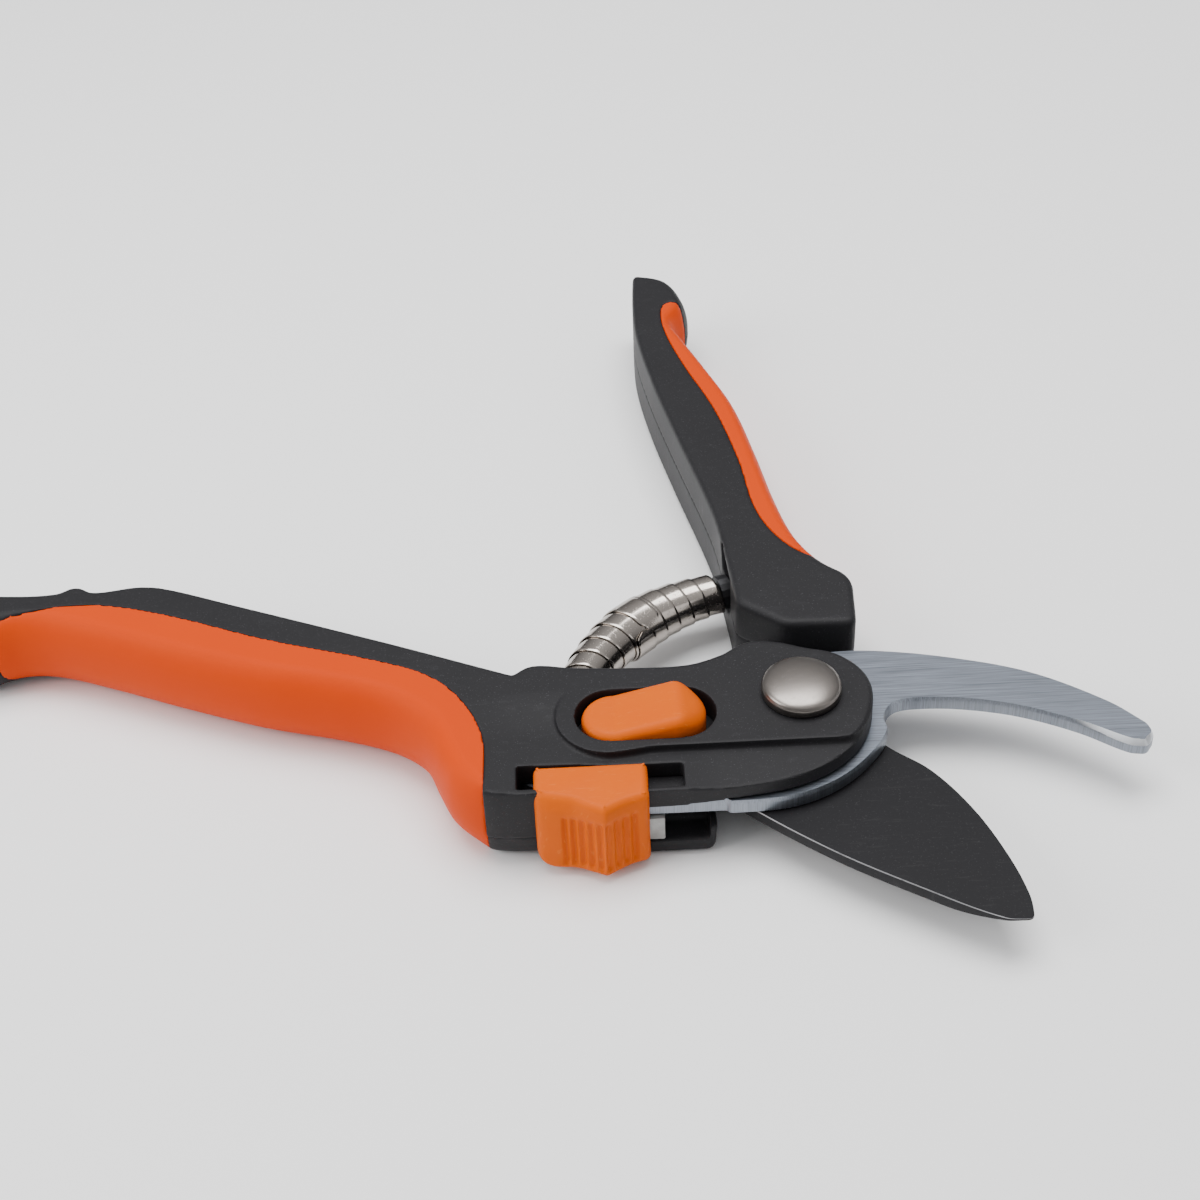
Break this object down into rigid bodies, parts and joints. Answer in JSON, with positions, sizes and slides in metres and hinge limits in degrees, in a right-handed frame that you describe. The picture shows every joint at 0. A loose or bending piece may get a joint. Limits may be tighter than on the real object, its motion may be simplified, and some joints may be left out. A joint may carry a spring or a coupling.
{
  "type": "bypass pruner",
  "caption": "Hand pruner with a curved hook blade and a coated cutting blade, shell handles with soft grips, volute spring, side lock slide and thumb selector.",
  "frame": {"origin": "on the hinge axis, at the flat lower face of the hinge nut, which is flush with the handles' undersides", "axes": "+X towards the blade tips, along the longest extent; +Y towards the swinging handle; +Z out of the domed hinge bolt, along the shortest extent"},
  "size_m": [0.2218, 0.1903, 0.0215],
  "materials": {
    "black_nylon": "fine matte moulded grain",
    "grip_rubber": "smooth satin overmould",
    "orange_plastic": "satin moulded",
    "hook_steel": "brushed lengthwise, bright ground edges",
    "coated_blade": "black non-stick coating with a worn spine edge",
    "bright_nickel": "polished nickel, slightly worn",
    "spring_strip": "nickel-plated strip",
    "plain_steel": "plain zinc-plated",
    "sintered_steel": "rough grey sintered",
    "bronze": "plain turned"
  },
  "bodies": {
    "hook_side": {"hook_blade": "hook_steel", "lower_handle_top_shell": "black_nylon", "lower_handle_bottom_shell": "black_nylon", "lower_grip": "grip_rubber", "lower_screw_front": "plain_steel", "lower_screw_middle": "plain_steel", "lower_screw_rear": "plain_steel", "pivot_bolt": "bright_nickel", "pivot_nut": "bright_nickel", "pivot_washer": "plain_steel", "lower_spring_seat": "plain_steel", "volute_spring": "spring_strip", "lock_detent_spring": "plain_steel", "selector_detent_spring": "plain_steel"},
    "blade_side": {"cutting_blade": "coated_blade", "upper_handle_top_shell": "black_nylon", "upper_handle_bottom_shell": "black_nylon", "upper_grip": "grip_rubber", "upper_screw_front": "plain_steel", "upper_screw_middle": "plain_steel", "upper_screw_rear": "plain_steel", "upper_spring_seat": "plain_steel", "pivot_bush": "bronze"},
    "lock": {"lock_slider": "orange_plastic", "lock_bolt": "sintered_steel"},
    "selector": {"selector_button": "orange_plastic", "selector_pin": "plain_steel"}
  },
  "joints": [
    {"name": "blade_hinge", "type": "hinge", "parent": "hook_side", "child": "blade_side", "pos_m": [0, 0, 0], "axis": [0, 0, 1], "range_deg": [0, 45], "stiffness_Nm_per_rad": 1.2, "springref_deg": -14.32, "deforming": ["volute_spring"]},
    {"name": "lock_slide", "type": "slide", "parent": "hook_side", "child": "lock", "axis": [1, 0, 0], "range_m": [0, 0.0055]},
    {"name": "selector_slide", "type": "slide", "parent": "hook_side", "child": "selector", "axis": [1, 0, 0], "range_m": [0, 0.0015]}
  ]
}
